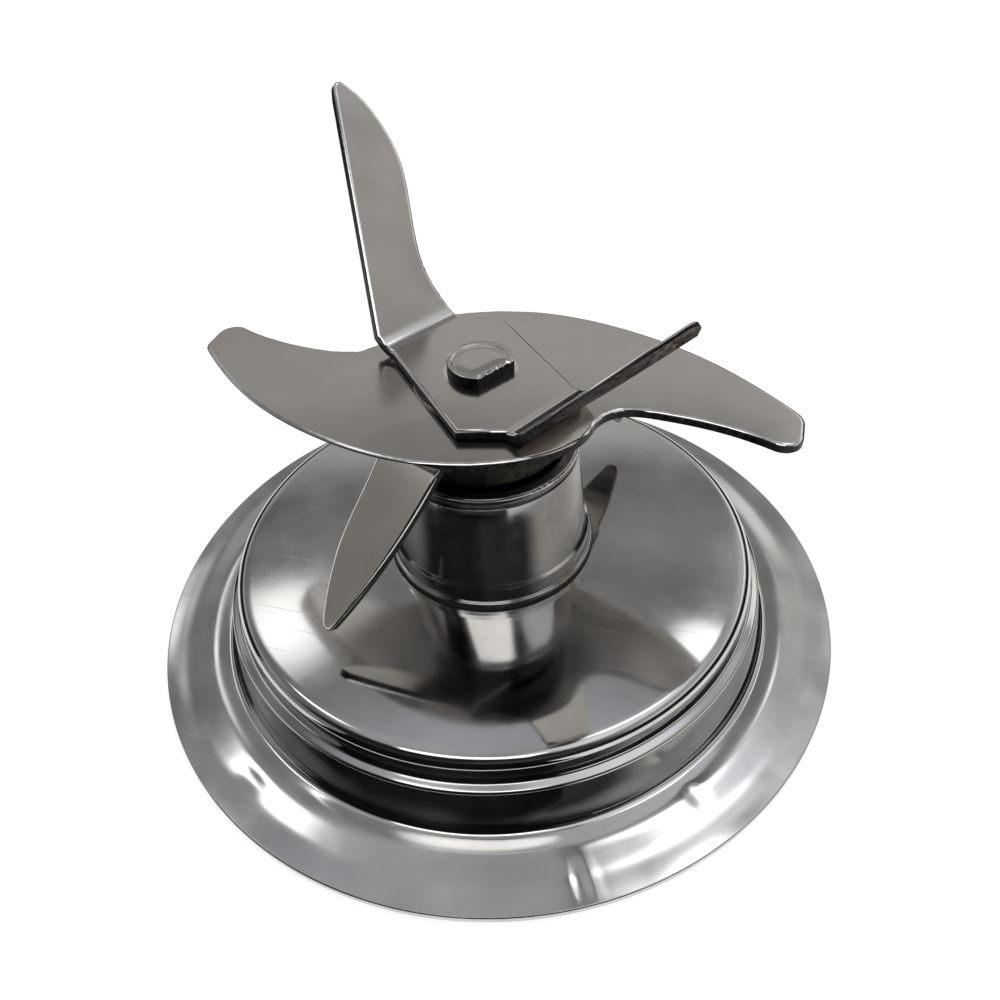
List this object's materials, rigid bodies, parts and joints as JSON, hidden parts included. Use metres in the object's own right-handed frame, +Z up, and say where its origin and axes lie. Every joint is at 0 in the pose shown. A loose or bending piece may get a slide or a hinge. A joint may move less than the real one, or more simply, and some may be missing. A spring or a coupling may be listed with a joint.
{
  "type": "blender blade assembly",
  "caption": "Stainless blender blade assembly: flat, raised and lowered sickle wings on a spindle that spins in a polished boss on a pressed dome-and-flange base.",
  "frame": {"origin": "centre of the flange's underside, on the spindle axis", "axes": "+Z up along the spindle, +X along one flat wing"},
  "size_m": [0.076, 0.076, 0.0507],
  "materials": {
    "polished_stainless": "mirror polished",
    "satin_stainless": "satin",
    "dark_steel": "satin",
    "sintered_bronze": "matt",
    "seal_rubber": "matt"
  },
  "bodies": {
    "base": {"pressed_base": "polished_stainless", "bearing_boss": "polished_stainless", "seal_cap": "polished_stainless", "foot_gasket": "seal_rubber", "clamp_washer": "satin_stainless", "housing_nut": "satin_stainless", "upper_bush": "sintered_bronze", "lower_bush": "sintered_bronze", "lip_seal": "seal_rubber", "thrust_washer": "satin_stainless"},
    "rotor": {"spindle": "satin_stainless", "circlip": "dark_steel", "drive_coupling": "dark_steel", "spacer_collar": "dark_steel", "lower_blade": "satin_stainless", "flat_blade": "satin_stainless", "blade_spacer": "satin_stainless", "upper_blade": "satin_stainless"}
  },
  "joints": [
    {"name": "spin", "type": "hinge", "parent": "base", "child": "rotor", "pos_m": [0, 0, 0.02], "axis": [0, 0, 1], "continuous": true}
  ]
}
